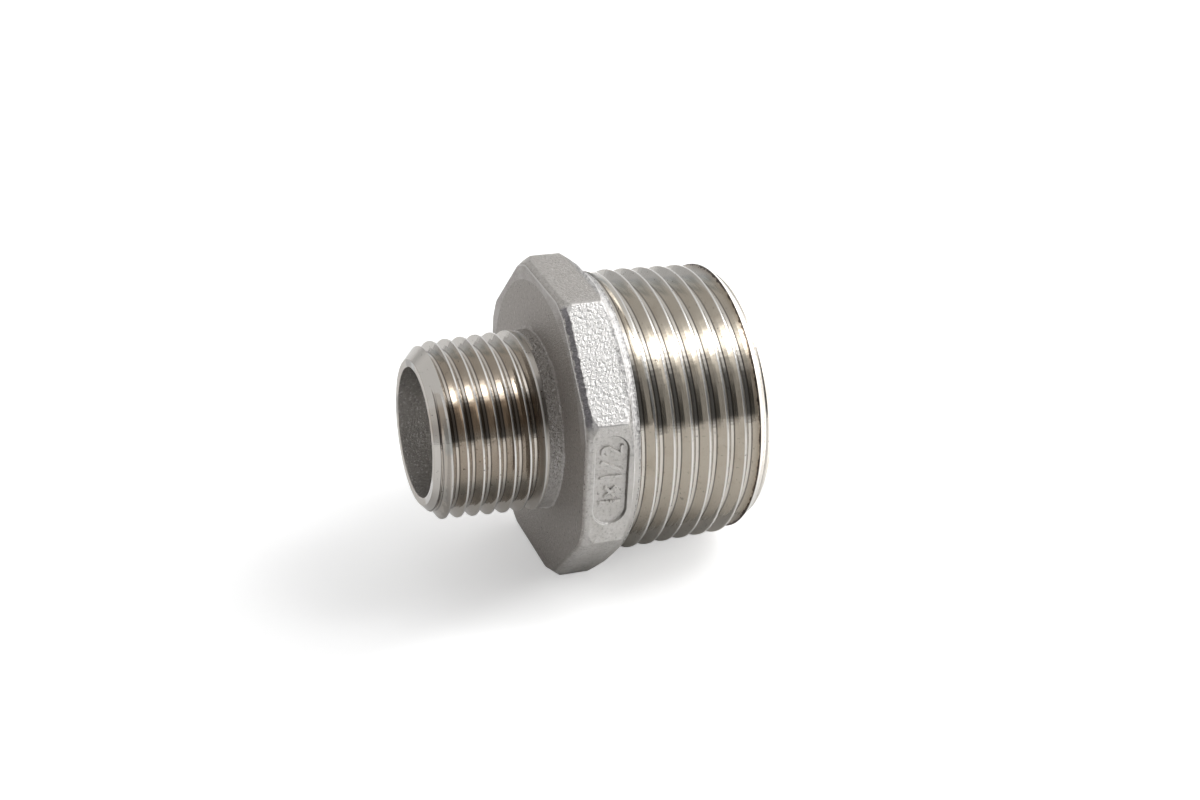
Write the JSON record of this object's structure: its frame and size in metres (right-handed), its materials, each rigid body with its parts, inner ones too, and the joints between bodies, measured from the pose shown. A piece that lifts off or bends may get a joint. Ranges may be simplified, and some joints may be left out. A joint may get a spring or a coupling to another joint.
{
  "type": "reducing nipple",
  "caption": "One-piece pipe fitting: a tapered external thread on each end, one smaller than the other, an octagonal wrench collar between them and a through bore.",
  "frame": {"origin": "centre of the small bore's mouth, in the plane of the small end face", "axes": "+X along the flow axis from the small end to the large end; +Z out of the wrench flat opposite the one it lies on; -Y out of the flat with the size panel"},
  "size_m": [0.0384, 0.0352, 0.0352],
  "materials": {
    "cast_steel": "satin cast collar, neck and bore with bright machined threads"
  },
  "bodies": {
    "root": {"reducing_nipple": "cast_steel"}
  },
  "joints": []
}
